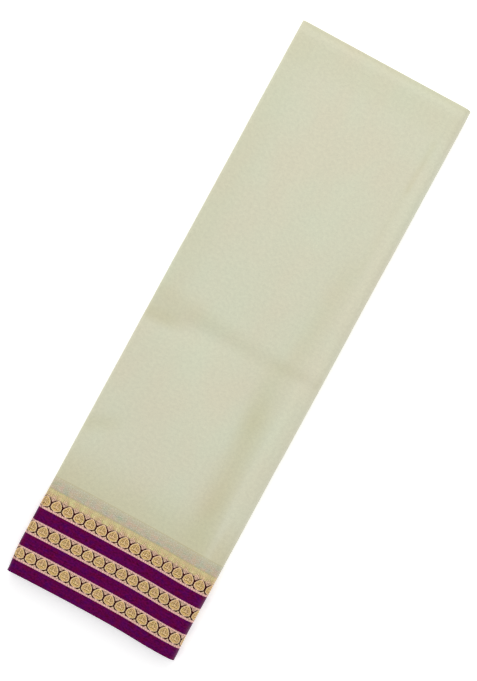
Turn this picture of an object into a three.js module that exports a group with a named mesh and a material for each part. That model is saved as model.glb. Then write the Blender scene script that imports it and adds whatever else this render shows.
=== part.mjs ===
// A silk sari folded flat for the shelf, lying on its underside.
// The cloth is first folded in half across its width, so that both selvedges meet at one
// end and every leaf is double. The length is then halved five times, into 32 leaves.
// X runs across the pack, Y from the woven border to the head fold, and Z up.
// The origin is the middle of the underside. All sizes are in millimetres.
import * as THREE from 'three';
import { mergeVertices } from 'three/addons/utils/BufferGeometryUtils.js';

// The cloth and the way it is folded.
const CLOTH_WIDTH = 1170;
const PACK_WIDTH = 179.5;
const HALVINGS = 5;
const LEAF = 0.5625; // one double leaf, with the air it holds
const PACK_LENGTH = CLOTH_WIDTH / 2;
const PACK_HEIGHT = LEAF * 2 ** HALVINGS;
const WALL = 1.0; // the outermost leaf, with the looser air under it
const SEAM = 0.3;
const CLEARANCE = WALL / 2 + SEAM; // from the middle of the outer leaf to the inner leaves

// The thick fold on the right holds every leaf, the one on the upper left holds half.
const FOLD_FLATNESS = 0.75; // how far a fold bulges sideways, as a share of its half height
const RIGHT_RISE = (PACK_HEIGHT - WALL) / 2;
const RIGHT_BULGE = RIGHT_RISE * FOLD_FLATNESS;
const LEFT_RISE = (PACK_HEIGHT / 2 - WALL) / 2;
const LEFT_BULGE = LEFT_RISE * FOLD_FLATNESS;
const RIGHT_CENTRE = PACK_WIDTH / 2 - WALL / 2 - RIGHT_BULGE;
const LEFT_CENTRE = -PACK_WIDTH / 2 + WALL / 2 + LEFT_BULGE;
const TUCK_Z = PACK_HEIGHT - WALL / 2 - 2 * LEFT_RISE;
const TUCK_LENGTH = 8; // how far the outer leaf runs in under the upper left fold
const RAW_END_INSET = 4.5; // from the left side to the sari's own end, underneath

// The stripes of the border, from the selvedge upwards.
const STRIPES = [
  { name: 'selvedge_stripe', height: 12.6, colour: '#5f054c', roughness: 0.45 },
  { name: 'zari_row_low', height: 14.3, colour: '#b48f66', roughness: 0.35 },
  { name: 'silk_stripe_low', height: 12.8, colour: '#59064a', roughness: 0.45 },
  { name: 'zari_row_middle', height: 14.6, colour: '#b48f66', roughness: 0.35 },
  { name: 'silk_stripe_high', height: 12.6, colour: '#5c0c4c', roughness: 0.45 },
  { name: 'zari_row_high', height: 13.0, colour: '#b48f66', roughness: 0.35 },
  { name: 'gold_edge', height: 7.8, colour: '#c8ba87', roughness: 0.4 },
  { name: 'pale_edge', height: 12.3, colour: '#b9b39e', roughness: 0.5 },
];
const BORDER_HEIGHT = STRIPES.reduce((sum, stripe) => sum + stripe.height, 0);
const FIELD_COLOUR = '#d3d2bb';

// The border's threads bow up a little at the middle and sag below the hollow on the right.
// Both die away up the cloth.
const BOW = 1.2;
const SAG = { x: 66, width: 27, drop: 1.2 };
const BOW_FADE = 160;

// Soft creases of the top leaf. Each runs from (x0, y0) to (x1, y1), and rise is negative
// for a trough. The first three are the press line of a pack folded once more in its box.
const CREASES = [
  { x0: -96, y0: -18, x1: -30, y1: -14, width: 13, rise: -0.6 },
  { x0: -40, y0: -10, x1: 96, y1: -8, width: 8, rise: -0.35 },
  { x0: -96, y0: 8, x1: 96, y1: 5, width: 9, rise: 0.25 },
  { x0: 56, y0: -48, x1: 58, y1: -180, width: 14, rise: -0.8 },
  { x0: 64, y0: 95, x1: 58, y1: -30, width: 13, rise: -0.35 },
  { x0: -50, y0: 230, x1: -58, y1: 30, width: 18, rise: -0.25 },
  { x0: -72, y0: -126, x1: -96, y1: -140, width: 10, rise: -0.45 },
];
const LONG_SIDE_SWELL = { rise: 0.45, inset: 12, width: 9 }; // folds stand up a little
const END_DROOP = { drop: 0.9, reach: 7 };

// How finely the cloth is divided, with closer rows over the press line.
const STEPS = { under: 5, rightFold: 10, top: 15, leftFold: 8, tuck: 1 };
const PRESS_LINE = { up: 280, halfWidth: 27, rows: 6 };
const HEAD_ROWS = [14, 5]; // down from the head fold, where the cloth rounds over
const PLAIN_ROW = 26; // the spacing of the rows elsewhere

const bell = (distance, width) => Math.exp(-((distance / width) ** 2));

/** How much one crease lifts the cloth at (x, y). */
function creaseLift({ x0, y0, x1, y1, width, rise }, x, y) {
  const along = new THREE.Vector2(x1 - x0, y1 - y0);
  const length = along.length();
  along.normalize();
  const from = new THREE.Vector2(x - x0, y - y0);
  const run = from.dot(along);
  const beyond = Math.max(0, -run, run - length);
  return rise * bell(from.cross(along), width) * bell(beyond, 2 * width);
}

/** Height of the pack over its underside at (x, y). */
function heightAt(x, y) {
  const fromSide = PACK_WIDTH / 2 - Math.abs(x);
  const fromEnd = Math.max(0, PACK_LENGTH / 2 - Math.abs(y));
  const creased = CREASES.reduce((sum, crease) => sum + creaseLift(crease, x, y), 0);
  const { rise, inset, width } = LONG_SIDE_SWELL;
  const swell = rise * (bell(fromSide - inset, width) - 1);
  return PACK_HEIGHT + creased + swell - END_DROOP.drop * bell(fromEnd, END_DROOP.reach);
}

/** The Y of a thread of cloth that lies `up` millimetres above the selvedge. */
function threadY(x, up) {
  const across = Math.min(1, Math.abs(x) / (PACK_WIDTH / 2));
  const sag = SAG.drop * bell(x - SAG.x, SAG.width);
  const bow = (BOW * (1 - across ** 2) - sag) * bell(up, BOW_FADE) * (1 - up / PACK_LENGTH);
  return up - PACK_LENGTH / 2 + bow;
}

/** Settles a point of the evenly stacked pack into the soft, creased one. */
function settle(x, up, z) {
  const y = threadY(x, up);
  return new THREE.Vector3(x, y, (z * heightAt(x, y)) / PACK_HEIGHT);
}

/** Evenly spaced heights from one to another, without the first. */
function rowsBetween(from, to, count) {
  return Array.from({ length: count }, (_, i) => THREE.MathUtils.lerp(from, to, (i + 1) / count));
}

/** The heights above the selvedge of the field's rows. */
function fieldRows() {
  const pressLow = PRESS_LINE.up - PRESS_LINE.halfWidth;
  const pressHigh = PRESS_LINE.up + PRESS_LINE.halfWidth;
  const headLow = PACK_LENGTH - HEAD_ROWS[0];
  return [
    BORDER_HEIGHT,
    ...rowsBetween(BORDER_HEIGHT, pressLow, Math.round((pressLow - BORDER_HEIGHT) / PLAIN_ROW)),
    ...rowsBetween(pressLow, pressHigh, PRESS_LINE.rows),
    ...rowsBetween(pressHigh, headLow, Math.round((headLow - pressHigh) / PLAIN_ROW)),
    ...HEAD_ROWS.slice(1).map((down) => PACK_LENGTH - down),
    PACK_LENGTH,
  ];
}

/** Half a turn of cloth round (cx, cz), from the angle `start`, seen from the border end. */
function foldTurn(cx, cz, bulge, rise, start, steps) {
  return Array.from({ length: steps + 1 }, (_, i) => {
    const angle = start + (Math.PI * i) / steps;
    const out = new THREE.Vector2(rise * Math.cos(angle), bulge * Math.sin(angle)).normalize();
    return { x: cx + bulge * Math.cos(angle), z: cz + rise * Math.sin(angle), out };
  });
}

/** A level run of cloth at height z, with its outer face up (1) or down (-1). */
function levelRun(x0, x1, z, facing, steps) {
  const out = new THREE.Vector2(0, facing);
  return [x0, ...rowsBetween(x0, x1, steps)].map((x) => ({ x, z, out }));
}

/**
 * The middle line of the outermost leaf, seen from the border end: from the sari's raw end
 * underneath, round the right fold, back over the top and in under the upper left fold.
 */
function outerLeafLine() {
  const rawEnd = -PACK_WIDTH / 2 + RAW_END_INSET;
  const quarter = Math.PI / 2;
  return [
    ...levelRun(rawEnd, RIGHT_CENTRE, WALL / 2, -1, STEPS.under).slice(0, -1),
    ...foldTurn(RIGHT_CENTRE, PACK_HEIGHT / 2, RIGHT_BULGE, RIGHT_RISE, -quarter, STEPS.rightFold),
    ...levelRun(RIGHT_CENTRE, LEFT_CENTRE, PACK_HEIGHT - WALL / 2, 1, STEPS.top).slice(1, -1),
    ...foldTurn(LEFT_CENTRE, TUCK_Z + LEFT_RISE, LEFT_BULGE, LEFT_RISE, quarter, STEPS.leftFold),
    ...levelRun(LEFT_CENTRE, LEFT_CENTRE + TUCK_LENGTH, TUCK_Z, -1, STEPS.tuck).slice(1),
  ];
}

/**
 * A closed block whose grid is bent into place. `place` takes column, row and layer numbers
 * and gives the point there, and the counts say how many cells the block has each way.
 */
function bentBlock({ columns, rows, layers }, place) {
  const block = new THREE.BoxGeometry(columns, rows, layers, columns, rows, layers);
  const at = block.attributes.position;
  for (let i = 0; i < at.count; i += 1) {
    const column = Math.round(at.getX(i) + columns / 2);
    const row = Math.round(at.getY(i) + rows / 2);
    const layer = Math.round(at.getZ(i) + layers / 2);
    at.setXYZ(i, ...place(column, row, layer).toArray());
  }
  block.deleteAttribute('normal');
  block.deleteAttribute('uv');
  return mergeVertices(block, 1e-4);
}

/** A named piece of cloth with its own finish. */
function piece(name, geometry, colour, roughness) {
  geometry.computeVertexNormals();
  const material = new THREE.MeshStandardMaterial({ color: colour, roughness, metalness: 0 });
  const mesh = new THREE.Mesh(geometry, material);
  mesh.name = name;
  return mesh;
}

/** The outermost leaf over the given heights above the selvedge, as a wall of cloth. */
function outerLeafWall(line, heights) {
  const cells = { columns: line.length - 1, rows: heights.length - 1, layers: 1 };
  return bentBlock(cells, (column, row, layer) => {
    // Seen from above the line runs from right to left, so the columns are counted back.
    const { x, z, out } = line[cells.columns - column];
    const side = (layer - 0.5) * WALL;
    return settle(x + out.x * side, heights[row], z + out.y * side);
  });
}

// The folds that show on the left below the tuck, from the bottom up. Inset is from the
// left side of the pack, and steps is how many rows the fold's side is drawn with.
const LOWER_FOLDS = [
  { leaves: 1, inset: 7.0, steps: 2 }, // the sari's other raw end
  { leaves: 2, inset: 3.2, steps: 2 },
  { leaves: 4, inset: 2.0, steps: 3 },
  { leaves: 8, inset: 1.0, steps: 5 },
];
const UPPER_FOLD_STEPS = 8;
const NOTCH = 0.06; // the rise from one fold to the next

/** A fold's side as rows of { z, left }, bulging to the left of x = `root`. */
function foldSide(low, high, root, bulge, steps) {
  return Array.from({ length: steps + 1 }, (_, i) => {
    const angle = (Math.PI * i) / steps;
    const z = (low + high) / 2 - ((high - low) / 2) * Math.cos(angle);
    return { z, left: root - bulge * Math.sin(angle) };
  });
}

/** The section of the inner leaves as rows from the bottom up, with left and right ends. */
function innerLeafRows() {
  const bottom = WALL + SEAM;
  const slot = { low: TUCK_Z - CLEARANCE, high: TUCK_Z + CLEARANCE };
  const leaves = LOWER_FOLDS.reduce((sum, fold) => sum + fold.leaves, 0);
  const rows = [];
  let low = bottom;
  for (const fold of LOWER_FOLDS) {
    const high = low + ((slot.low - bottom) * fold.leaves) / leaves;
    const bulge = ((high - low) / 2) * FOLD_FLATNESS;
    const root = -PACK_WIDTH / 2 + fold.inset + bulge;
    rows.push(...foldSide(low + NOTCH / 2, high - NOTCH / 2, root, bulge, fold.steps));
    low = high;
  }
  const slotEnd = LEFT_CENTRE + TUCK_LENGTH + SEAM;
  rows.push({ z: slot.low + NOTCH / 2, left: slotEnd }, { z: slot.high - NOTCH, left: slotEnd });
  const top = PACK_HEIGHT - WALL - SEAM;
  rows.push(...foldSide(slot.high, top, LEFT_CENTRE, LEFT_BULGE - CLEARANCE, UPPER_FOLD_STEPS));
  return rows.map(({ z, left }) => {
    const level = Math.min(1, Math.abs(z - PACK_HEIGHT / 2) / (RIGHT_RISE - CLEARANCE));
    const right = RIGHT_CENTRE + (RIGHT_BULGE - CLEARANCE) * Math.sqrt(1 - level ** 2);
    return { z, left, right };
  });
}

// How the inner leaves' edges lie at both ends of the pack.
const LEAF_END = { inset: 0.6, ridge: 0.45, stagger: 0.4 };

/** All the leaves inside the outermost one, as one block that is layered at its edges. */
function innerLeaves(heights) {
  const rows = innerLeafRows();
  const cells = { columns: STEPS.top, rows: heights.length - 1, layers: rows.length - 1 };
  const { inset, ridge, stagger } = LEAF_END;
  return bentBlock(cells, (column, row, layer) => {
    const { z, left, right } = rows[layer];
    const x = THREE.MathUtils.lerp(left, right, column / cells.columns);
    const drawnIn = inset + (layer % 2) * ridge + stagger * (1 + Math.sin(layer * 2.1 + x / 40));
    const up = THREE.MathUtils.clamp(heights[row], drawnIn, PACK_LENGTH - drawnIn);
    return settle(x, up, z);
  });
}

const sari = new THREE.Group();
const line = outerLeafLine();
let up = 0;
for (const { name, height, colour, roughness } of STRIPES) {
  sari.add(piece(name, outerLeafWall(line, [up, up + height - SEAM]), colour, roughness));
  up += height;
}
const rows = fieldRows();
sari.add(piece('field', outerLeafWall(line, rows), FIELD_COLOUR, 0.55));
sari.add(piece('inner_leaves', innerLeaves([0, STRIPES[0].height, ...rows]), FIELD_COLOUR, 0.6));

export default sari;
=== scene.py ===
"""A silk sari folded flat for the shelf, dressed over its solids.

The sari is first drawn as flat cloth. A point of it has three numbers: `along`, the way
along the sari from its raw end, `up`, the height above the selvedge, and `lift`, how far it
stands off the middle of the leaf towards the sari's face. One function folds such points
into the pack, so the silk, its woven border and the gold threads all follow the same folds
and creases. Lengths are in metres, in the solids' frame: X runs across the pack, Y from the
woven border to the head fold, and Z up.
"""
import math
from collections import namedtuple

import bmesh
import bpy
import numpy as np
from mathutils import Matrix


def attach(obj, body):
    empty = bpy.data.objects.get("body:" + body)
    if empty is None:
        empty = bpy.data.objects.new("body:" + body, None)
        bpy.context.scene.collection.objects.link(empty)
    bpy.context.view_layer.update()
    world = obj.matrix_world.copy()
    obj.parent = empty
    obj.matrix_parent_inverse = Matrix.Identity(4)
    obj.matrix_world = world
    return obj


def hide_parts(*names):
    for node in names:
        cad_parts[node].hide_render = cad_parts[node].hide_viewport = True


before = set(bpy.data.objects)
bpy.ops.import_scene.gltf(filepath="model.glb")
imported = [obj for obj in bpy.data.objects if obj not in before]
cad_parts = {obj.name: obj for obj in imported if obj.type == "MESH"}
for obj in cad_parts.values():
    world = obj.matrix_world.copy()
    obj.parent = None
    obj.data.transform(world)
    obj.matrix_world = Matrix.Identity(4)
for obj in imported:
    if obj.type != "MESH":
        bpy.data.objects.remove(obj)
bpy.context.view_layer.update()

MM = 0.001

# The cloth and the way it is folded, as in the solids. The length is halved five times.
PACK_WIDTH = 179.5 * MM
PACK_LENGTH = 585 * MM
LEAVES = 32
LEAF = 0.5625 * MM  # one double leaf, with the air it holds
PACK_HEIGHT = LEAF * LEAVES
FOLD_FLATNESS = 0.75  # how far a fold bulges sideways, as a share of its half height
TUCK_LENGTH = 8 * MM  # how far in under the upper left fold the outermost leaf is drawn

# The folds of the left side, by the lowest and highest leaf that each one holds.
LeftFold = namedtuple("LeftFold", "low high inset sway")
LEFT_FOLDS = [
    LeftFold(low=2, high=3, inset=3.2 * MM, sway=0.5 * MM),
    LeftFold(low=4, high=7, inset=2.0 * MM, sway=0.4 * MM),
    LeftFold(low=8, high=15, inset=1.0 * MM, sway=0.35 * MM),
    LeftFold(low=16, high=31, inset=0.0, sway=0.0),
]
RAW_END_INSETS = (4.5 * MM, 7.0 * MM)  # the sari's two ends, both underneath on the left
SWAY_REACH = 12 * MM  # how far from its turn a left fold's sway is felt
SWAY_LENGTHS = (260 * MM, 97 * MM)  # its long wave, and its short one of half the size

# How thick the silk is drawn. The outermost leaf is the looser one.
FACE = LEAF / 2  # from the middle of the outermost leaf to its face
BACK = -0.18 * MM
INNER_FACE = 0.2 * MM
NOSE = 0.35 * MM  # how far the fold of a double leaf rounds over at the head end
NOSE_POINTS = 7

# The inner leaves end behind the outermost one. How far wanders about a mean, in waves of
# (depth, length along the sari, phase), and it grows from nothing where the outer leaf ends.
DRAWN_IN, DRAWN_IN_AT_LEAST = 0.75 * MM, 0.05 * MM
DRAWN_IN_WAVES = [(0.4 * MM, 71 * MM, 0), (0.25 * MM, 23 * MM, 1), (0.12 * MM, 9 * MM, 2)]
DRAWN_IN_GROWTH = 45 * MM
DRAWN_IN_REACH = 30 * MM  # how far up the leaf the pull is felt

# The stripes of the border from the selvedge upwards, with the solid that each one dresses.
# The woven figures are set off sideways by `offset` from one stripe to the next.
Stripe = namedtuple("Stripe", "node height weave offset")
STRIPES = [
    Stripe("selvedge_stripe", 12.6 * MM, "purple", 0),
    Stripe("zari_row_low", 14.3 * MM, "zari", 1.0 * MM),
    Stripe("silk_stripe_low", 12.8 * MM, "purple", 0),
    Stripe("zari_row_middle", 14.6 * MM, "zari", 0),
    Stripe("silk_stripe_high", 12.6 * MM, "purple", 0),
    Stripe("zari_row_high", 13.0 * MM, "zari", -0.2 * MM),
    Stripe("gold_edge", 7.8 * MM, "gold", -0.2 * MM),
    Stripe("pale_edge", 12.3 * MM, "grey", 3.1 * MM),
]
BORDER_HEIGHT = sum(stripe.height for stripe in STRIPES)

# The border's threads bow up a little at the middle and sag below the hollow on the right.
# Both die away up the cloth.
BOW = 1.2 * MM
SAG_X, SAG_WIDTH, SAG_DROP = 66 * MM, 27 * MM, 1.2 * MM
BOW_FADE = 160 * MM

# The cloth dips into that hollow, so the figures stand closer together on its near slope.
SLACK = 2.2 * MM
SLACK_X = (34 * MM, 62 * MM)
SLACK_UP = (24 * MM, 44 * MM)
SLACK_FADE = 90 * MM  # how far above the border it dies away

# The border end is pulled askew to the right: how far its left and right corners move, and
# how far up that is felt.
ASKEW = (2.3 * MM, 0.9 * MM, 17 * MM)

# Soft creases in millimetres, from (x0, y0) to (x1, y1). A trough's rise is negative. The
# main ones are those of the solids, and the first three are the press line of the box fold.
Crease = namedtuple("Crease", "x0 y0 x1 y1 width rise")
MAIN_CREASES = [
    Crease(-96, -18, -30, -14, 13, -0.6),
    Crease(-40, -10, 96, -8, 8, -0.35),
    Crease(-96, 8, 96, 5, 9, 0.25),
    Crease(56, -48, 58, -180, 14, -0.8),
    Crease(64, 95, 58, -30, 13, -0.35),
    Crease(-50, 230, -58, 30, 18, -0.25),
    Crease(-72, -126, -96, -140, 10, -0.45),
]
FINE_CREASES = [
    Crease(74, 250, 72.5, 198, 3.4, -0.18),
    Crease(72.5, 196, 71, 120, 4.5, -0.1),
    Crease(80, 268, 78, 60, 5, 0.16),
    Crease(78, 60, 75, -20, 6, 0.12),
    Crease(74, -40, 76, -186, 6, 0.14),
    Crease(-96, -22, -60, -20, 4, -0.12),
    Crease(-96, -128, -74, -121, 5, 0.14),
    Crease(-90, 284, 88, 285, 4, 0.1),
    Crease(-24, 150, -20, 20, 12, 0.08),
    Crease(22, 210, 18, 30, 14, 0.09),
    Crease(-18, -40, -10, -150, 20, 0.16),
    Crease(30, -60, 36, -190, 9, -0.08),
    Crease(-60, -170, 20, -186, 7, -0.07),
    Crease(-96, 62, -70, 58, 5, -0.08),
    Crease(-88, 180, -84, 90, 5, -0.07),
]
# Painted shade and painted light on the top leaf, in millimetres too: its colour is made a shade
# darker and warmer where shade falls in its hollows, at the press line and at the head end, and
# lighter where light falls on its crests. A rise of 1 is the darkest painted shade there is, and
# one below 0 is a painted highlight.
PAINTED_SHADE_AND_LIGHT = [
    Crease(-98, -17, -70, -15, 9, 0.6),
    Crease(-98, 7, -50, 5, 12, 0.3),
    Crease(-60, -5, -20, -1, 10, 0.16),
    Crease(-30, 1, 8, -2, 12, 0.12),
    Crease(8, -5, 50, -8, 10, 0.12),
    Crease(50, -3, 92, -1, 6, 0.2),
    Crease(46, -26, 49, -60, 12, 0.34),
    Crease(50, -64, 53, -148, 14, 0.62),
    Crease(58, -96, 60, -140, 8, 0.16),
    Crease(54, -150, 56, -186, 13, 0.2),
    Crease(61, 92, 57, 16, 11, 0.3),
    Crease(73.5, 246, 72.5, 200, 3, 0.34),
    Crease(72.5, 200, 69, 110, 4, 0.12),
    Crease(-98, -141, -74, -129, 8, 0.42),
    Crease(-84, 250, -82, 20, 18, 0.22),
    Crease(-98, -150, -98, -60, 12, 0.14),
    Crease(-92, 292, 92, 292, 5, 0.5),
    Crease(-92, 276, 92, 276, 10, 0.2),
    Crease(-90, 262, 90, 262, 9, 0.14),
    Crease(79, 215, 78, -4, 3.5, -0.3),
    Crease(72, -14, 71.5, -196, 3.6, -0.42),
    Crease(-5, -54, -3, -56, 34, -0.32),
    Crease(-22, 190, -20, 80, 8, -0.12),
    Crease(22, 200, 20, 60, 9, -0.12),
    Crease(-96, -26, -50, -26, 5, -0.12),
]
# Soft creases that run along the thick folds, by height and Y, on the left and the right.
LEFT_CREASES = [
    Crease(13, -212, 11, -120, 1.6, -0.3),
    Crease(9, -96, 12, -22, 2.0, 0.2),
    Crease(11, -20, 7, 84, 1.5, -0.28),
    Crease(14, 60, 13, 176, 1.8, -0.22),
    Crease(8, 150, 10, 236, 2.2, 0.2),
]
RIGHT_CREASES = [
    Crease(12, -190, 9, -84, 1.8, -0.32),
    Crease(5, -150, 6, -30, 1.7, -0.24),
    Crease(13, -60, 12, 52, 2.2, 0.22),
    Crease(8, 10, 10, 128, 1.6, -0.3),
    Crease(4, 90, 5, 200, 2.0, -0.2),
    Crease(12, 140, 11, 226, 1.5, -0.24),
]
DENTS_X = (PACK_WIDTH / 2 - 9 * MM, PACK_WIDTH / 2 - 4 * MM)  # where dents begin, and are full
DENTS_FROM_END = (20 * MM, 60 * MM)  # and the same in from both ends
DEEPEST_DENT = 0.7 * MM  # a side dent this deep gets the darkest painted shade there is
PAINTED_SHADE_BY_BORDER = (0.8, 28 * MM)  # painted shade just above the pale edge: how dark, and how far up it reaches
SHADED_TOP = (0.5 * PACK_HEIGHT, 0.9 * PACK_HEIGHT)  # where the painted shade and light of the top begin, and are full
SWELL = (0.45 * MM, 12 * MM, 9 * MM)  # rise, inset and width, along both long sides
DROOP = (0.9 * MM, 7 * MM)  # drop and reach, at both ends

# The woven figures. One repeat is charted as a weaver would, half of it, from between two
# medallions to the middle of one: g yellow gold, y pale gold, c cream gold, r rose gold,
# w silver, and a dot where the ground shows.
REPEAT = 11.9 * MM
ROSE_EDGE = ["rrrrrrrrrrrrrrr"] * 3
MEDALLION = [
    "c.rcrc.rc.rcrcr",
    "c.crc.rc....ccc",
    "rcr.cr....ccccg",
    "c.rcr....ccgggg",
    "rcrc....ccggggg",
    "crc....ccggg.gc",
    "cr....ccgggg.gg",
    "r....ccggg.cggc",
    "....ccgggg.ggcg",
    "....ccggggcgg.g",
    "...ccgggc.gg.gc",
    "...ccgg.ggcg.gg",
    "..ccggg.gg.gg.c",
    "..ccgg.ggcg.ggc",
    "..cgggggg.ggccg",
    "..cggg.gcgg.ggg",
    "..cgggccccccccc",
    "..ccggg.ggggggg",
    "..ccggg.ggg....",
    "..ccggggggg.ggg",
    "...ccggg.gggggg",
    "....ccgggggcggg",
    "c.....cccgggggg",
    "cc......ccccggg",
    "crc........cccc",
    "rcrc........r.r",
    "c.rcrc.rc.rc.rc",
    "rrrrrrrrrrrrrrr",
]
FANS = [
    "...y......y....",
    "..yy...y..yy..y",
    ".yy.y.yy..yy.yy",
    ".yyyy.yy.yyyyyy",
    ".yyyy.yyy.yyycy",
    "yyyy.yyyycyyyyy",
    "yyyyyyyy.yyyyyy",
    "y.yyy.yyyyyycyy",
    "yyyyyy.yyyyyyyy",
    "c.ycyyyyyy.yyyy",
    "cycyy.yycyyyyyy",
    "c..cyy.yyyyyycc",
    "cyryy.yyyyycyyy",
    "c..cyyyycyyyyyy",
    "cycryy.yyyyyycc",
    "cr.rcyyyyyycyyy",
    "crcrc.c.yyyy.cc",
    "crc.crc.c.y....",
]
VINE = [
    "...............",
    "...............",
    ".w...w.....w...",
    "....www...www..",
    "...ww.ww.wwwww.",
    "w..w...w.ww.www",
    "ww.ww.ww..www.w",
    "www.www....w...",
    "w.w..w..ww...ww",
    "ww.....wwww.www",
    ".ww..w.ww.w.ww.",
    "..w.www.ww..w..",
    "w...w.ww..w..ww",
    "ww.ww..ww...www",
    ".www.w..www.ww.",
    "..w..ww..ww..w.",
    "w....www......w",
    "ww.w..ww.w...ww",
    ".ww.w....ww.www",
    "..ww.ww.w.www..",
    "w..ww.www..w..w",
    "ww..w..w.w...ww",
    ".w....ww.ww.ww.",
    "..ww.www..www..",
    ".wwwwww.w...w..",
    "...............",
    ".w.w.w.w.w.w.w.",
    "...............",
]


def bell(distance, width):
    """1 at no distance, and next to nothing beyond twice the width."""
    return np.exp(-((distance / width) ** 2))


def near_border(up, reach):
    """1 on the border, dying away above it."""
    return bell(np.maximum(0, up - BORDER_HEIGHT), reach)


def crease_lift(crease, x, y):
    """How much one crease lifts the cloth at the points (x, y)."""
    dx, dy = (crease.x1 - crease.x0) * MM, (crease.y1 - crease.y0) * MM
    length = math.hypot(dx, dy)
    from_x, from_y = x - crease.x0 * MM, y - crease.y0 * MM
    run = (from_x * dx + from_y * dy) / length
    aside = (from_x * dy - from_y * dx) / length
    beyond = np.maximum(0, np.maximum(-run, run - length))
    width = crease.width * MM
    return crease.rise * MM * bell(aside, width) * bell(beyond, 2 * width)


def creased(x, y, creases):
    """How much all of the creases lift the cloth there."""
    return sum(crease_lift(crease, x, y) for crease in creases)


def pack_height(x, y):
    """Height of the pack over its underside at the points (x, y)."""
    from_side = PACK_WIDTH / 2 - np.abs(x)
    from_end = np.maximum(0, PACK_LENGTH / 2 - np.abs(y))
    rise, inset, width = SWELL
    drop, reach = DROOP
    swell = rise * (bell(from_side - inset, width) - 1)
    return (PACK_HEIGHT + creased(x, y, MAIN_CREASES + FINE_CREASES) + swell
            - drop * bell(from_end, reach))


def leaf_positions():
    """Where each panel lies in the pile, from the bottom, in the order of the sari's length."""
    piles = [[panel] for panel in range(LEAVES)]
    while len(piles) > 1:
        piles = [piles[i] + piles[-1 - i][::-1] for i in range(len(piles) // 2)]
    return [piles[0].index(panel) for panel in range(LEAVES)]


class SariLine:
    """The middle line of the folded sari, seen from the border end, by the way along it.

    `levels` and `turns` say where each panel and each fold between two panels starts and
    ends, and `outermost` maps each left fold to the number of its outermost turn.
    """

    STEP = 0.1 * MM
    TURN_POINTS = 48

    def __init__(self):
        self.levels, self.turns, self.outermost = [], [], {}
        self._points, self._way = [], 0.0
        at = leaf_positions()
        middle = [(position + 0.5) * LEAF for position in at]
        x = -PACK_WIDTH / 2 + RAW_END_INSETS[0]
        for panel in range(LEAVES):
            going_right = panel % 2 == 0
            if panel == LEAVES - 1:
                turn_x = -PACK_WIDTH / 2 + RAW_END_INSETS[1]
            elif going_right:
                turn_x = PACK_WIDTH / 2 - LEAF / 2 - FOLD_FLATNESS * (LEAVES - 1) / 2 * LEAF
            else:
                turn_x = self._left_centre(panel, at)
            self.levels.append(self._add([(x, middle[panel]), (turn_x, middle[panel])]))
            if panel < LEAVES - 1:
                side = 1 if going_right else -1
                turn = self._turn(turn_x, middle[panel], middle[panel + 1], side)
                self.turns.append(self._add(turn))
            x = turn_x
        self._resample()

    def _left_centre(self, panel, at):
        low, high = sorted(at[panel:panel + 2])
        left = next(held for held in LEFT_FOLDS if held.low <= low and high <= held.high)
        if (low, high) == (left.low, left.high):
            self.outermost[left] = panel
        rise = (left.high - left.low) / 2 * LEAF
        return -PACK_WIDTH / 2 + left.inset + LEAF / 2 + FOLD_FLATNESS * rise

    def _turn(self, x, z0, z1, side):
        angles = np.linspace(0, math.pi, self.TURN_POINTS)
        bulge = FOLD_FLATNESS * abs(z1 - z0) / 2
        return [(x + side * bulge * math.sin(t), (z0 + z1 - (z1 - z0) * math.cos(t)) / 2)
                for t in angles]

    def _add(self, points):
        """Adds a run of points and gives the ways along the sari at its start and end."""
        start = self._way
        for a, b in zip(points, points[1:]):
            self._way += math.dist(a, b)
        self._points += points if not self._points else points[1:]
        return start, self._way

    def _resample(self):
        points = np.array(self._points)
        ways = np.concatenate([[0], np.cumsum(np.hypot(*np.diff(points, axis=0).T))])
        self.way = np.linspace(0, ways[-1], int(ways[-1] / self.STEP))
        self.x = np.interp(self.way, ways, points[:, 0])
        self.z = np.interp(self.way, ways, points[:, 1])
        heading = np.array([np.gradient(self.x), np.gradient(self.z)])
        heading /= np.hypot(*heading)
        self.face_x, self.face_z = heading[1], -heading[0]

    def at(self, along, lift):
        """Place in the section, (x, z), of points `along` the sari and `lift` off its middle."""
        def read(values):
            return np.interp(along, self.way, values)
        return read(self.x) + lift * read(self.face_x), read(self.z) + lift * read(self.face_z)


LINE = SariLine()
TOTAL_WAY = LINE.levels[-1][1]
OUTER_END = LINE.levels[2][0] + TUCK_LENGTH  # where the outermost leaf goes out of sight
# The border's underside lies on its gold threads, which lift it, and the cloth just above it.
LIFTED_BY_ZARI, LIFT_FADE = 0.1 * MM, 40 * MM


def side_sway(along, up):
    """How far the lower folds of the left side wander in and out along the pack."""
    long_wave, short_wave = SWAY_LENGTHS
    clear_of_ends = np.sin(math.pi * np.clip(up / PACK_LENGTH, 0, 1)) ** 2
    sway = np.zeros_like(along)
    for left, turn in LINE.outermost.items():
        start, end = LINE.turns[turn]
        near = bell(along - (start + end) / 2, SWAY_REACH)
        wave = np.sin(math.tau * up / long_wave + left.low)
        wave += 0.5 * np.sin(math.tau * up / short_wave + 2 * left.low)
        sway += left.sway * near * wave * clear_of_ends
    return sway


def eased(value, low, high):
    """0 below low, 1 above high, and a soft step between them."""
    t = np.clip((value - low) / (high - low), 0, 1)
    return t * t * (3 - 2 * t)


def slack(along, up):
    """How much further along the top leaf a thread lies, for the dip of the right hollow."""
    x, _ = LINE.at(along, 0)
    on_top = eased(x, *SLACK_X) * eased(along, *LINE.turns[0]) * (along < LINE.levels[1][1])
    return SLACK * on_top * eased(up, *SLACK_UP) * near_border(up, SLACK_FADE)


def dents(along, up):
    """How far the thick folds of the two sides are pressed in or out along the pack."""
    x, z = LINE.at(along, 0)
    y = up - PACK_LENGTH / 2
    beside = eased(np.abs(x), *DENTS_X)
    clear_of_ends = eased(PACK_LENGTH / 2 - np.abs(y), *DENTS_FROM_END)
    dent = np.where(x < 0, creased(z, y, LEFT_CREASES), creased(z, y, RIGHT_CREASES))
    return dent * beside * clear_of_ends


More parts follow.
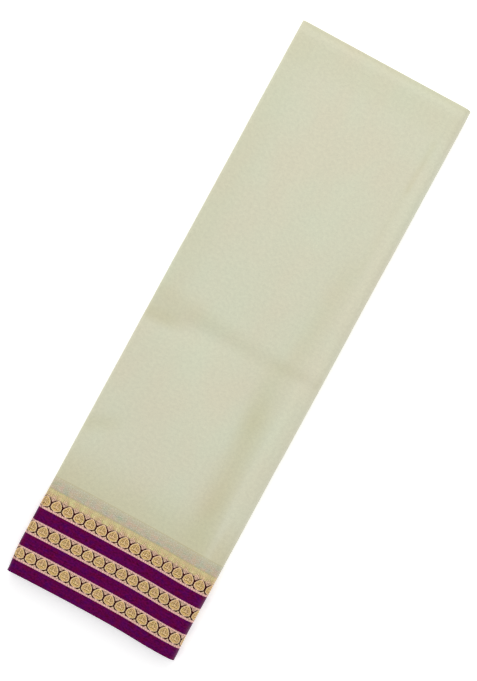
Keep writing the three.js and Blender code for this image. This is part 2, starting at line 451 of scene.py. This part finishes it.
def askew(x, up):
    """How far to the right the border end is pulled."""
    left, right, reach = ASKEW
    return (left + (right - left) * (0.5 + x / PACK_WIDTH)) * bell(up, reach)


def fold(points):
    """Folds flat cloth, an array of (along, up, lift), into the pack."""
    along, up, lift = np.asarray(points).T
    x, z = LINE.at(along + slack(along, up), lift + dents(along, up))
    x = x + side_sway(along, up) + askew(x, up)
    across = np.minimum(1, np.abs(x) / (PACK_WIDTH / 2))
    sag = SAG_DROP * bell(x - SAG_X, SAG_WIDTH)
    bow = (BOW * (1 - across ** 2) - sag) * bell(up, BOW_FADE) * (1 - up / PACK_LENGTH)
    y = up - PACK_LENGTH / 2 + bow
    level = z / PACK_HEIGHT
    under_border = LIFTED_BY_ZARI * (1 - level) * near_border(up, LIFT_FADE)
    return np.stack([x, y, level * pack_height(x, y) + under_border], axis=1)


def drawn_in(along):
    """How far the ends of the inner leaves lie behind those of the outermost leaf."""
    way = along - OUTER_END
    wander = DRAWN_IN + sum(depth * np.sin(way / length + phase)
                            for depth, length, phase in DRAWN_IN_WAVES)
    growth = 1 - np.exp(-np.maximum(0, way) / DRAWN_IN_GROWTH)
    return np.maximum(DRAWN_IN_AT_LEAST, wander) * growth


# How far apart the cloth's points are.
FIELD_STEP, BORDER_STEP = 1.6 * MM, 1.5 * MM  # up the outermost leaf
SIDE_STEP, END_STEP = 6 * MM, 5 * MM  # up the inner leaves, at the left side and the ends
BACK_STEP = 24 * MM  # up the back of any leaf
LEVEL_STEP = 5 * MM  # along the inner leaves where they lie level
SIDE_TURN_STEP, END_TURN_STEP = 0.5 * MM, 0.6 * MM  # and where they turn
SHORTEST_STRETCH = 0.19 * MM  # a shorter one gets no points of its own


def steps(start, end, size):
    """Evenly spaced numbers from start to end, about `size` apart."""
    return np.linspace(start, end, max(2, math.ceil(abs(end - start) / size) + 1))


def chain(*runs):
    """Runs of numbers or points put end to end, without the repeated ones where they meet."""
    return np.concatenate([runs[0]] + [run[1:] for run in runs[1:]])


def stations(start, end, turn_step):
    """Ways along the sari from start to end, closer together where it turns."""
    ways = [start]
    for stretches, step in ((LINE.levels, LEVEL_STEP), (LINE.turns, turn_step)):
        for stretch_start, stretch_end in stretches:
            low, high = max(start, stretch_start), min(end, stretch_end)
            if high - low > SHORTEST_STRETCH:
                ways += list(steps(low, high, step)[:-1])
    return np.unique(np.round(ways + [end], 7))  # rounded, so that no way comes twice


def face_rows(low, high, step, lift):
    """Points (up, lift) along one face of a leaf."""
    rows = steps(low, high, step)
    return np.stack([rows, np.full_like(rows, lift)], axis=1)


def head_fold(face, back):
    """Points (up, lift) round the fold of a double leaf at the head end."""
    angles = np.linspace(0, math.pi, NOSE_POINTS)
    up = PACK_LENGTH - NOSE + NOSE * np.sin(angles)
    lift = (face + back) / 2 + (face - back) / 2 * np.cos(angles)
    return np.stack([up, lift], axis=1)


def selvedges(face, back):
    """Points (up, lift) round the two selvedges of a double leaf, from its back to its face.

    A slit parts its two layers, and the one on the face reaches a little further out.
    """
    slit = (face + back) / 2
    return np.array([
        (3.0 * MM, back), (0.9 * MM, back), (0.4 * MM, back - 0.01 * MM),
        (0.28 * MM, (back + slit) / 2), (0.4 * MM, slit - 0.02 * MM), (2.6 * MM, slit),
        (0.2 * MM, slit + 0.02 * MM), (0.0, (face + slit) / 2), (0.1 * MM, face + 0.03 * MM),
        (0.8 * MM, face + 0.03 * MM), (1.3 * MM, face),
    ])


def closed_shell(ways, loop, ends_in=False):
    """A closed loop of points (up, lift) carried along the sari, with both ends capped.

    Gives the flat points (along, up, lift), and the faces. With ends_in the loop's ends are
    drawn in as those of the inner leaves are.
    """
    along = np.repeat(ways, len(loop))
    up, lift = np.tile(loop, (len(ways), 1)).T
    if ends_in:
        from_end = np.minimum(up, PACK_LENGTH - up)
        inward = np.where(up < PACK_LENGTH / 2, 1, -1) * drawn_in(along)
        up = up + inward * bell(from_end, DRAWN_IN_REACH)
    count = len(loop)
    faces = []
    for station in range(len(ways) - 1):
        near, far = station * count, (station + 1) * count
        for i in range(count):
            j = (i + 1) % count
            faces.append((near + i, near + j, far + j, far + i))
    faces.append(tuple(range(count))[::-1])
    faces.append(tuple(range((len(ways) - 1) * count, len(ways) * count)))
    return np.stack([along, up, lift], axis=1), faces


def joined(parts):
    """Several (points, faces) pairs as one."""
    points, faces, offset = [], [], 0
    for part_points, part_faces in parts:
        points.append(part_points)
        faces += [tuple(i + offset for i in face) for face in part_faces]
        offset += len(part_points)
    return np.concatenate(points), faces


def painted_shade_at(points, flat_points):
    """The painted shade and painted light at each point: 0.5 is none, 1 the darkest painted shade,
    and 0 the brightest painted light.
    """
    x, y, z = points.T
    along, up, _ = flat_points.T
    shade, reach = PAINTED_SHADE_BY_BORDER
    # Painted shade from the table and just above the border, on the top leaves only, and painted
    # shade in the pressed-in dents of the sides, with painted light where they stand out.
    on_top = creased(x, y, PAINTED_SHADE_AND_LIGHT) / MM + shade * near_border(up, reach)
    on_top *= eased(z, *SHADED_TOP)
    return 0.5 + 0.5 * np.clip(on_top - dents(along, up) / DEEPEST_DENT, -1, 1)


SHARPEST_ROUND = math.radians(50)  # a crease of the mesh that is sharper stays an edge


def cloth_piece(name, flat_points, faces, material):
    """Folds flat cloth into a finished object, with its flat place as its UV map."""
    points = fold(flat_points)
    mesh = bpy.data.meshes.new(name)
    mesh.from_pydata(points.tolist(), [], faces)
    corners = np.zeros(len(mesh.loops), dtype=np.int32)
    mesh.loops.foreach_get("vertex_index", corners)
    uv = mesh.uv_layers.new(name="cloth")
    uv.data.foreach_set("uv", flat_points[corners, :2].ravel())
    # The hollow attribute carries the painted shade and painted light of each point.
    hollow = mesh.attributes.new("hollow", "FLOAT", "POINT")
    hollow.data.foreach_set("value", painted_shade_at(points, flat_points))
    shape = bmesh.new()
    shape.from_mesh(mesh)
    bmesh.ops.recalc_face_normals(shape, faces=shape.faces)
    shape.to_mesh(mesh)
    shape.free()
    mesh.shade_smooth()
    mesh.set_sharp_from_angle(angle=SHARPEST_ROUND)
    mesh.materials.append(material)
    piece = bpy.data.objects.new(name, mesh)
    bpy.context.scene.collection.objects.link(piece)
    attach(piece, "root")
    return piece


def node(tree, kind, inputs=None, **settings):
    """Adds a node. `inputs` gives each named socket a value, or the node or output feeding it."""
    made = tree.nodes.new(kind)
    for key, value in settings.items():
        setattr(made, key, value)
    for socket, value in (inputs or {}).items():
        if isinstance(value, bpy.types.Node):
            value = next(output for output in value.outputs if output.enabled)
        if isinstance(value, bpy.types.NodeSocket):
            tree.links.new(value, made.inputs[socket])
        else:
            made.inputs[socket].default_value = value
    return made


def linear(hex_colour):
    """An sRGB hex colour as linear RGBA."""
    channels = [int(hex_colour[i:i + 2], 16) / 255 for i in (1, 3, 5)]
    return (*[c / 12.92 if c <= 0.04045 else ((c + 0.055) / 1.055) ** 2.4 for c in channels], 1.0)


def new_material(name):
    """An empty material, and its tree."""
    material = bpy.data.materials.new(name)
    material.use_nodes = True
    material.node_tree.nodes.clear()
    return material, material.node_tree


def cloth_place(tree, along_mm, up_mm):
    """The flat place on the cloth, counted in cells of the given size in millimetres."""
    uv = node(tree, "ShaderNodeUVMap", uv_map="cloth")
    scale = (1 / (along_mm * MM), 1 / (up_mm * MM), 1)
    return node(tree, "ShaderNodeMapping", {"Vector": uv, "Scale": scale})


def uneven(tree, along_mm, up_mm, low=0.0, high=1.0, detail=2.0):
    """A value that wanders from low to high over the cloth, in blotches of the given size."""
    blotches = node(tree, "ShaderNodeTexNoise",
                    {"Vector": cloth_place(tree, along_mm, up_mm), "Scale": 1.0,
                     "Detail": detail, "Roughness": 0.55})
    return node(tree, "ShaderNodeMapRange",
                {"Value": blotches, "From Min": 0.34, "From Max": 0.66,
                 "To Min": low, "To Max": high})


def with_painted_shade(tree, colour):
    """A cloth colour with painted shade over the pack's hollows and painted light on its crests.
    """
    hollow = node(tree, "ShaderNodeAttribute", attribute_name="hollow").outputs["Fac"]
    depth = node(tree, "ShaderNodeMapRange", {"Value": hollow, "From Min": 0.5, "From Max": 1.0})
    painted_light = node(tree, "ShaderNodeMapRange", {"Value": hollow, "From Min": 0.5, "From Max": 0.0})
    # The painted shade darkens and warms the colour towards #ece8db, and the painted light on
    # crests lightens it towards white, from #f7f7f7 where the cloth lies level.
    shade = node(tree, "ShaderNodeMix",
                 {"Factor": depth, "A": linear("#f7f7f7"), "B": linear("#ece8db")},
                 data_type="RGBA")
    shade = node(tree, "ShaderNodeMix", {"Factor": painted_light, "A": shade, "B": linear("#ffffff")},
                 data_type="RGBA")
    return node(tree, "ShaderNodeMix", {"Factor": 1.0, "A": colour, "B": shade},
                data_type="RGBA", blend_type="MULTIPLY")


def silk_crepe():
    """Plain woven silk of twisted crepe yarn: a fine pebbled grain with a soft, low sheen."""
    material, tree = new_material("ivory silk crepe, plain woven")
    # The undyed yarn is a little warmer in broad patches.
    ground = node(tree, "ShaderNodeMix",
                  {"Factor": uneven(tree, 55, 90, 0.0, 0.7), "A": linear("#d1d3ba"),
                   "B": linear("#d5cfb6")}, data_type="RGBA")
    # The grain of the yarn is 0.4 mm, drawn as coarse as 1.3 mm so that it shows, and it lies
    # open and close in cloudy places of 3 mm.
    grain = node(tree, "ShaderNodeTexNoise",
                 {"Vector": cloth_place(tree, 1.3, 0.9), "Scale": 1.0, "Detail": 3.0,
                  "Roughness": 0.6})
    tone = node(tree, "ShaderNodeMapRange",
                {"Value": grain, "From Min": 0.3, "From Max": 0.7, "To Min": 0.94,
                 "To Max": 1.04})
    tone = node(tree, "ShaderNodeMath", {0: tone, 1: uneven(tree, 3.4, 2.8, 0.962, 1.032)},
                operation="MULTIPLY")
    speckled = node(tree, "ShaderNodeMix", {"Factor": 1.0, "A": ground, "B": tone},
                    data_type="RGBA", blend_type="MULTIPLY")
    bump = node(tree, "ShaderNodeBump",
                {"Height": grain.outputs[0], "Strength": 0.35, "Distance": 0.12 * MM})
    # The base colour carries the painted shade and painted light of the pack's hollows and crests.
    shader = node(tree, "ShaderNodeBsdfPrincipled",
                  {"Base Color": with_painted_shade(tree, speckled), "Normal": bump,
                   "Roughness": 0.55, "Sheen Weight": 0.12, "Sheen Roughness": 0.5})
    node(tree, "ShaderNodeOutputMaterial", {"Surface": shader})
    return material


# Yarn of another colour that shows in places of so many millimetres along and up, and how
# much of it at most.
Shot = namedtuple("Shot", "colour along up share")


def ribbed_silk(name, light, dark, roughness, sheen, glint="#ffffff", shot=(), fade=None):
    """Silk with fine ribs along the border, as warp-faced satin and striped silk have.

    Light comes back from between the yarns in the colour `glint`. Each `shot` crosses it with
    a yarn of another colour. With `fade`, a colour and two heights in millimetres, it passes
    into that colour between them.
    """
    material, tree = new_material(name)
    # The ribs are 0.4 mm apart, drawn at 0.8 mm so that they show. They wander a little, and
    # it is darker between them. The yarn is thick and thin in turn, which is drawn at 1.5 mm.
    ribs = node(tree, "ShaderNodeTexWave",
                {"Vector": cloth_place(tree, 9, 0.4), "Scale": 1 / math.tau, "Distortion": 1.2,
                 "Detail": 1.0}, bands_direction="Y").outputs["Fac"]
    colour = node(tree, "ShaderNodeMix",
                  {"Factor": uneven(tree, 2.4, 1.5, detail=3.0), "A": linear(dark),
                   "B": linear(light)}, data_type="RGBA")
    for yarn in shot:
        places = uneven(tree, yarn.along, yarn.up, 0.0, yarn.share)
        colour = node(tree, "ShaderNodeMix",
                      {"Factor": places, "A": colour, "B": linear(yarn.colour)},
                      data_type="RGBA")
    if fade:
        hex_colour, low, high = fade
        up = node(tree, "ShaderNodeSeparateXYZ", {"Vector": cloth_place(tree, 1, 1)}).outputs["Y"]
        passed = node(tree, "ShaderNodeMapRange", {"Value": up, "From Min": low, "From Max": high})
        colour = node(tree, "ShaderNodeMix",
                      {"Factor": passed, "A": colour, "B": linear(hex_colour)},
                      data_type="RGBA")
    between = node(tree, "ShaderNodeMapRange", {"Value": ribs, "To Min": 0.72, "To Max": 1.14})
    colour = node(tree, "ShaderNodeMix", {"Factor": 1.0, "A": colour, "B": between},
                  data_type="RGBA", blend_type="MULTIPLY")
    bump = node(tree, "ShaderNodeBump",
                {"Height": ribs, "Strength": 0.35, "Distance": 0.06 * MM})
    # The base colour carries the painted shade and painted light of the pack's hollows and crests.
    shader = node(tree, "ShaderNodeBsdfPrincipled",
                  {"Base Color": with_painted_shade(tree, colour), "Normal": bump,
                   "Roughness": roughness, "Specular IOR Level": 0.3,
                   "Specular Tint": linear(glint), "Sheen Weight": sheen,
                   "Sheen Roughness": 0.4, "Sheen Tint": linear(glint)})
    node(tree, "ShaderNodeOutputMaterial", {"Surface": shader})
    return material


def zari_thread(name, light, dark, other):
    """Zari: flattened metal wound on a silk core, so each thread glitters in fine turns.

    The gilding is uneven, and turns to the colour `other` here and there.
    """
    material, tree = new_material(name)
    # The turns of the metal are 0.15 mm apart, drawn at 0.9 mm, and their tone varies.
    colour = node(tree, "ShaderNodeMix",
                  {"Factor": uneven(tree, 0.9, 0.41, detail=1.0), "A": linear(dark),
                   "B": linear(light)}, data_type="RGBA")
    colour = node(tree, "ShaderNodeMix",
                  {"Factor": uneven(tree, 6, 4, 0.0, 0.7), "A": colour, "B": linear(other)},
                  data_type="RGBA")
    shader = node(tree, "ShaderNodeBsdfPrincipled",
                  {"Base Color": colour, "Metallic": 0.75, "Roughness": 0.42})
    node(tree, "ShaderNodeOutputMaterial", {"Surface": shader})
    return material


IVORY = silk_crepe()
PURPLE = ribbed_silk("purple silk, warp-faced satin", "#740a56", "#3a0422", 0.55, 0.03,
                     "#8a1070", shot=[Shot("#440a7a", 8, 4.6, 0.45), Shot("#800a36", 7, 4, 0.3)])
ZARI_GROUND = ribbed_silk("dark purple silk under the zari", "#451016", "#280806", 0.5, 0.0,
                          "#5a2030")
STRAW = ribbed_silk("straw silk, plain woven", "#9e8454", "#7a613a", 0.5, 0.1,
                    fade=("#c6bf98", 81.6, 85.6))
GREY = ribbed_silk("grey ivory silk, plain woven", "#cac4ba", "#a8a29b", 0.5, 0.12,
                   shot=[Shot("#98b6a6", 6, 5, 0.85), Shot("#deb2a6", 8, 6, 0.85),
                         Shot("#d2cb86", 7, 4, 0.35)],
                   fade=("#d1cdb1", 92.5, 99.5))
YELLOW_ZARI = zari_thread("yellow gold zari thread", "#f3d686", "#cea65c", "#e6ba88")
ROSE_ZARI = zari_thread("rose gold zari thread", "#fbd0c6", "#e6a89e", "#f2c2b4")
CREAM_ZARI = zari_thread("cream gold zari thread", "#fff0c8", "#eac692", "#fcd8ba")
PALE_ZARI = zari_thread("pale gold zari thread", "#eae5a8", "#c2b67c", "#d2a986")
SILVER_ZARI = zari_thread("silver zari thread", "#dad3be", "#b8b19c", "#bfc7b2")

# What each weave of the border is: the record's slot, its ground, and its woven figure as a
# chart and the thread that each letter of the chart stands for.
Weave = namedtuple("Weave", "slot ground chart threads")
WEAVES = {
    "purple": Weave("purple_silk", PURPLE, [], {}),
    "zari": Weave("zari_brocade", ZARI_GROUND, ROSE_EDGE + MEDALLION + ROSE_EDGE,
                  {"g": YELLOW_ZARI, "c": CREAM_ZARI, "r": ROSE_ZARI}),
    "gold": Weave("gold_silk", STRAW, FANS,
                  {"y": PALE_ZARI, "c": CREAM_ZARI, "r": ROSE_ZARI}),
    "grey": Weave("grey_silk", GREY, VINE, {"w": SILVER_ZARI}),
}


def thread_float():
    """One float of thread, a unit long, wide and high: a low ridge with a tip at both ends."""
    sections = [(-0.45, 0.8), (0.0, 1.0), (0.45, 0.8)]  # place along it, and height
    points = [point for x, z in sections
              for point in ((x, -0.5, 0.0), (x, 0.0, z), (x, 0.5, 0.0))]
    near, far = len(points), len(points) + 1
    points += [(-0.5, 0.0, 0.0), (0.5, 0.0, 0.0)]
    faces = [(near, 0, 1), (near, 1, 2), (far, 7, 6), (far, 8, 7)]
    for corner in (0, 1, 3, 4):  # the slopes between one section and the next
        faces += [(corner, corner + 3, corner + 4), (corner, corner + 4, corner + 1)]
    mesh = bpy.data.meshes.new("thread float")
    mesh.from_pydata(points, [], faces)
    return bpy.data.objects.new("thread float", mesh), len(points)


def float_tree(float_object):
    """Nodes that lay a thread float on each charted point and repeat the chart in a row."""
    tree = bpy.data.node_groups.new("charted threads", "GeometryNodeTree")
    interface = tree.interface
    for name, kind, value in (
        ("Chart", "NodeSocketGeometry", None),
        ("Thread width", "NodeSocketFloat", 0.4 * MM),
        ("Thread height", "NodeSocketFloat", 0.1 * MM),
        ("Repeat", "NodeSocketFloat", REPEAT),
        ("Repeats", "NodeSocketInt", 1),
        ("Seed", "NodeSocketInt", 7),
        ("Thread", "NodeSocketMaterial", None),
    ):
        socket = interface.new_socket(name, in_out="INPUT", socket_type=kind)
        if value is not None:
            socket.default_value = value
    interface.new_socket("Threads", in_out="OUTPUT", socket_type="NodeSocketGeometry")
    given = node(tree, "NodeGroupInput").outputs
    span = node(tree, "GeometryNodeInputNamedAttribute", {"Name": "span"}, data_type="FLOAT")
    uneven_by = node(tree, "FunctionNodeRandomValue",
                     {"Min": 0.85, "Max": 1.1, "Seed": given["Seed"]}, data_type="FLOAT")
    height = node(tree, "ShaderNodeMath", {0: given["Thread height"], 1: uneven_by},
                  operation="MULTIPLY")
    size = node(tree, "ShaderNodeCombineXYZ",
                {"X": span, "Y": given["Thread width"], "Z": height})
    shape = node(tree, "GeometryNodeObjectInfo", {"Object": float_object}).outputs["Geometry"]
    floats = node(tree, "GeometryNodeInstanceOnPoints",
                  {"Points": given["Chart"], "Instance": shape, "Scale": size})
    charted = node(tree, "GeometryNodeRealizeInstances", {"Geometry": floats})
    offset = node(tree, "ShaderNodeCombineXYZ", {"X": given["Repeat"]})
    row = node(tree, "GeometryNodeMeshLine", {"Count": given["Repeats"], "Offset": offset})
    repeats = node(tree, "GeometryNodeInstanceOnPoints", {"Points": row, "Instance": charted})
    threads = node(tree, "GeometryNodeRealizeInstances", {"Geometry": repeats})
    finished = node(tree, "GeometryNodeSetMaterial",
                    {"Geometry": threads, "Material": given["Thread"]})
    node(tree, "NodeGroupOutput", {"Threads": finished})
    return tree


FLOAT, FLOAT_POINTS = thread_float()
FLOAT_TREE = float_tree(FLOAT)
LONGEST_FLOAT = 5  # cells that a thread passes over before it is bound down
BOUND = 0.08 * MM  # the gap where it is
THREAD_COVER = 0.9  # a thread's width, as a share of the chart's rows

# In the middle row, the first two whole medallions meet this far from the left side.
MEETING_FROM_LEFT = 9.4 * MM
top_end = LINE.levels[1][1]
FIRST_MEETING = top_end + LINE.at(top_end, 0)[0] + PACK_WIDTH / 2 - MEETING_FROM_LEFT


def charted_floats(chart, letter, pitch):
    """The floats of one thread in one repeat, as (middle along, up, length)."""
    half = len(chart[0])
    cell = REPEAT / (2 * half)
    floats = []
    for row, text in enumerate(chart[::-1]):
        cells = text + text[::-1]
        column = 0
        while column < len(cells):
            end = column
            longest = LONGEST_FLOAT + (row + column) % 2
            while end < len(cells) and cells[end] == letter and end - column < longest:
                end += 1
            if end > column:
                middle = (column + end) / 2 * cell
                floats.append((middle, (row + 0.5) * pitch, (end - column) * cell - BOUND))
            column = max(end, column + 1)
    return floats


def woven_threads(chart, letter, material, foot, height, offset, start, end, lift):
    """One thread's floats over a stretch of a stripe, as flat points and faces."""
    pitch = height / len(chart)
    floats = np.array(charted_floats(chart, letter, pitch))
    mesh = bpy.data.meshes.new("chart")
    mesh.from_pydata(np.stack([floats[:, 0], floats[:, 1], 0 * floats[:, 0]], axis=1), [], [])
    span = mesh.attributes.new("span", "FLOAT", "POINT")
    span.data.foreach_set("value", floats[:, 2])
    chart_object = bpy.data.objects.new("chart", mesh)
    bpy.context.scene.collection.objects.link(chart_object)
    phase = (FIRST_MEETING - offset) % REPEAT
    first = math.floor((start - phase) / REPEAT)
    repeats = math.ceil((end - phase) / REPEAT) - first
    modifier = chart_object.modifiers.new("threads", "NODES")
    modifier.node_group = FLOAT_TREE
    sockets = {item.name: item.identifier for item in FLOAT_TREE.interface.items_tree
               if item.in_out == "INPUT"}
    modifier[sockets["Repeats"]] = repeats
    modifier[sockets["Thread width"]] = THREAD_COVER * pitch
    modifier[sockets["Thread"]] = material
    graph = bpy.context.evaluated_depsgraph_get()
    made = bpy.data.meshes.new_from_object(chart_object.evaluated_get(graph))
    points = np.zeros(len(made.vertices) * 3)
    made.vertices.foreach_get("co", points)
    points = points.reshape(-1, 3) + [phase + first * REPEAT, foot, lift]
    corners = np.zeros(len(made.loops), dtype=np.int32)
    made.loops.foreach_get("vertex_index", corners)
    faces = corners.reshape(-1, 3)
    bpy.data.objects.remove(chart_object)
    for used in (mesh, made):
        bpy.data.meshes.remove(used)
    by_float = points[:, 0].reshape(-1, FLOAT_POINTS)
    whole = (by_float.min(axis=1) > start) & (by_float.max(axis=1) < end)
    kept = np.repeat(whole, FLOAT_POINTS)
    renumbered = np.cumsum(kept) - 1
    faces = faces[kept[faces[:, 0]]]
    return points[kept], [tuple(face) for face in renumbered[faces].tolist()]


# The stretches of the sari that show from outside: the outermost leaf, and on the left side
# the outermost turn of each lower fold and the sari's inner raw end. The rest shows only at
# the head folds and the selvedges.
SIDE_DEPTH = 14 * MM  # how far in from the side they are drawn
HEAD_DEPTH, SELVEDGE_DEPTH = 14 * MM, 11 * MM  # and in from the two ends
side_turns = [LINE.turns[turn] for left, turn in LINE.outermost.items() if left.high < LEAVES - 1]
SIDE_STRETCHES = sorted(
    [(start - SIDE_DEPTH, end + SIDE_DEPTH) for start, end in side_turns]
    + [(TOTAL_WAY - SIDE_DEPTH, TOTAL_WAY)])
hidden_ends = [OUTER_END] + [end for _, end in SIDE_STRETCHES[:-1]]
HIDDEN_STRETCHES = list(zip(hidden_ends, [start for start, _ in SIDE_STRETCHES]))

outer_ways = chain(
    steps(0, LINE.levels[0][1], 7 * MM),  # under the pack
    steps(*LINE.turns[0], 1 * MM),  # round the thick fold on the right
    steps(*LINE.levels[1], 1.5 * MM),  # over the top
    steps(*LINE.turns[1], 0.6 * MM),  # round the upper fold on the left
    steps(LINE.levels[2][0], OUTER_END, 2.5 * MM),  # and in under it
)


def leaf_loop(low, high, step, face, back):
    """The closed section of a leaf between two heights, with its real ends where it has any."""
    has_selvedges, has_head = low <= 0, high >= PACK_LENGTH
    edge = selvedges(face, back)
    rear_low, front_low = (edge[0, 0], edge[-1, 0]) if has_selvedges else (low, low)
    top = high - NOSE if has_head else high
    front = face_rows(front_low, top, step, face)
    rear = face_rows(top, rear_low, BACK_STEP, back)
    loop = chain(front, head_fold(face, back), rear) if has_head else np.concatenate([front, rear])
    return np.concatenate([loop, edge[1:-1]]) if has_selvedges else loop


def outermost_leaf(name, low, high, step, material):
    """A stretch of height on the outermost leaf, all round the pack."""
    points, faces = closed_shell(outer_ways, leaf_loop(low, high, step, FACE, BACK))
    return cloth_piece(name, points, faces, material)


def inner_leaves(name, low, high, step, turn_step, stretches, material):
    """A stretch of height on the inner leaves, over the given stretches of the sari."""
    loop = leaf_loop(low, high, step, INNER_FACE, -INNER_FACE)
    parts = [closed_shell(stations(start, end, turn_step), loop, ends_in=True)
             for start, end in stretches]
    return cloth_piece(name, *joined(parts), material)


def left_folds(name, low, high, material):
    """A stretch of height on each leaf that shows on the left side."""
    return inner_leaves(name, low, high, SIDE_STEP, SIDE_TURN_STEP, SIDE_STRETCHES, material)


def leaf_ends(name, low, high, material):
    """The ends of the leaves that show only there."""
    return inner_leaves(name, low, high, END_STEP, END_TURN_STEP, HIDDEN_STRETCHES, material)


def border_thread(stripe, foot, chart, letter, material):
    """One thread of a stripe's figure, on the outermost leaf and on the folds of the left side."""
    stretches = [(0, OUTER_END, FACE)] + [(*stretch, INNER_FACE) for stretch in SIDE_STRETCHES]
    parts = [woven_threads(chart, letter, material, foot, stripe.height, stripe.offset, *stretch)
             for stretch in stretches]
    return cloth_piece(f"{stripe.node}_thread_{letter}", *joined(parts), material)


# The field and the plain folds inside it.
field = outermost_leaf("field_silk", BORDER_HEIGHT, PACK_LENGTH, FIELD_STEP, IVORY)
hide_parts("field")
side_field = left_folds("left_folds_silk", BORDER_HEIGHT, PACK_LENGTH, IVORY)
head_ends = leaf_ends("head_folds_silk", PACK_LENGTH - HEAD_DEPTH, PACK_LENGTH, IVORY)
border_ends = leaf_ends("selvedges_of_inner_leaves", 0, SELVEDGE_DEPTH, PURPLE)
for piece, slot in ((side_field, "ivory_silk"), (head_ends, "ivory_silk"),
                    (border_ends, "purple_silk")):
    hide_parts("inner_leaves")

# The border, stripe by stripe.
foot = 0.0
for stripe in STRIPES:
    weave = WEAVES[stripe.weave]
    top = foot + stripe.height
    outer = outermost_leaf(stripe.node + "_silk", foot, top, BORDER_STEP, weave.ground)
    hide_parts(stripe.node)
    side = left_folds("left_folds_" + stripe.node, foot, top, weave.ground)
    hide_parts("inner_leaves")
    chart = weave.chart
    if stripe.node == "zari_row_high":  # its upper edge is the gold edge
        chart = chart[len(ROSE_EDGE):]
    for letter, material in weave.threads.items():
        thread = border_thread(stripe, foot, chart, letter, material)
    foot = top

# A plain pale floor lit a little from below, a white room, and a soft light at the head end.
FLOOR_GLOW, ROOM_LIGHT = 0.28, 0.86
FLOOR_REACH, FLOOR_DROP = 6.0, 0.2 * MM  # to each side, and below the pack
KEY_SIZE, KEY_POWER = 1.2, 32  # metres across, and watts
KEY_SIDE = np.array([-0.2, 0.98])  # which way it stands from the pack, seen from above
KEY_AWAY, KEY_ANGLE = 2.6, math.radians(25)  # how far away it is, and its angle above the floor

floor_material, floor_tree = new_material("opal acrylic of a light table")
floor_shader = node(floor_tree, "ShaderNodeBsdfPrincipled",
                    {"Base Color": (0.95, 0.95, 0.95, 1), "Roughness": 0.9,
                     "Emission Color": (1, 1, 1, 1), "Emission Strength": FLOOR_GLOW})
node(floor_tree, "ShaderNodeOutputMaterial", {"Surface": floor_shader})
floor_mesh = bpy.data.meshes.new("floor")
floor_corners = [(x * FLOOR_REACH, y * FLOOR_REACH, -FLOOR_DROP)
                 for x, y in ((-1, -1), (1, -1), (1, 1), (-1, 1))]
floor_mesh.from_pydata(floor_corners, [], [(0, 1, 2, 3)])
floor_mesh.materials.append(floor_material)
floor = bpy.data.objects.new("floor", floor_mesh)
bpy.context.scene.collection.objects.link(floor)

world = bpy.data.worlds.new("white room")
world.use_nodes = True
room = world.node_tree.nodes["Background"].inputs
room["Color"].default_value = (1, 1, 1, 1)
room["Strength"].default_value = ROOM_LIGHT
bpy.context.scene.world = world

key_data = bpy.data.lights.new("key", "AREA")
key_data.size = KEY_SIZE
key_data.energy = KEY_POWER
key = bpy.data.objects.new("key", key_data)
key.location = (*(KEY_SIDE * KEY_AWAY * math.cos(KEY_ANGLE)), KEY_AWAY * math.sin(KEY_ANGLE))
key.rotation_euler = key.location.to_track_quat("Z", "Y").to_euler()
bpy.context.scene.collection.objects.link(key)

# The camera looks straight down, rolled so that the pack leans as in the photo.
PHOTO_SIZE = np.array([477, 681])
PACK_MIDDLE = np.array([238.2, 340.05])  # the pack's middle in the photo, in pixels
PHOTO_TILT = math.radians(28.54)  # the pack leans this far to the right in the photo
MM_PER_PIXEL = 0.935
photo_right = np.array([math.cos(PHOTO_TILT), math.sin(PHOTO_TILT)])
photo_up = np.array([-math.sin(PHOTO_TILT), math.cos(PHOTO_TILT)])
camera_data = bpy.data.cameras.new("camera")
camera_data.lens = 100
camera_data.sensor_width = 36
view_height = PHOTO_SIZE[1] * MM_PER_PIXEL * MM
distance = view_height * camera_data.lens / camera_data.sensor_width
across, down = (PHOTO_SIZE / 2 - PACK_MIDDLE) * MM_PER_PIXEL * MM
camera = bpy.data.objects.new("camera", camera_data)
camera.location = (*(across * photo_right - down * photo_up), PACK_HEIGHT + distance)
camera.rotation_euler = (0, 0, PHOTO_TILT)
bpy.context.scene.collection.objects.link(camera)
bpy.context.scene.camera = camera
bpy.context.scene.view_settings.view_transform = "Standard"
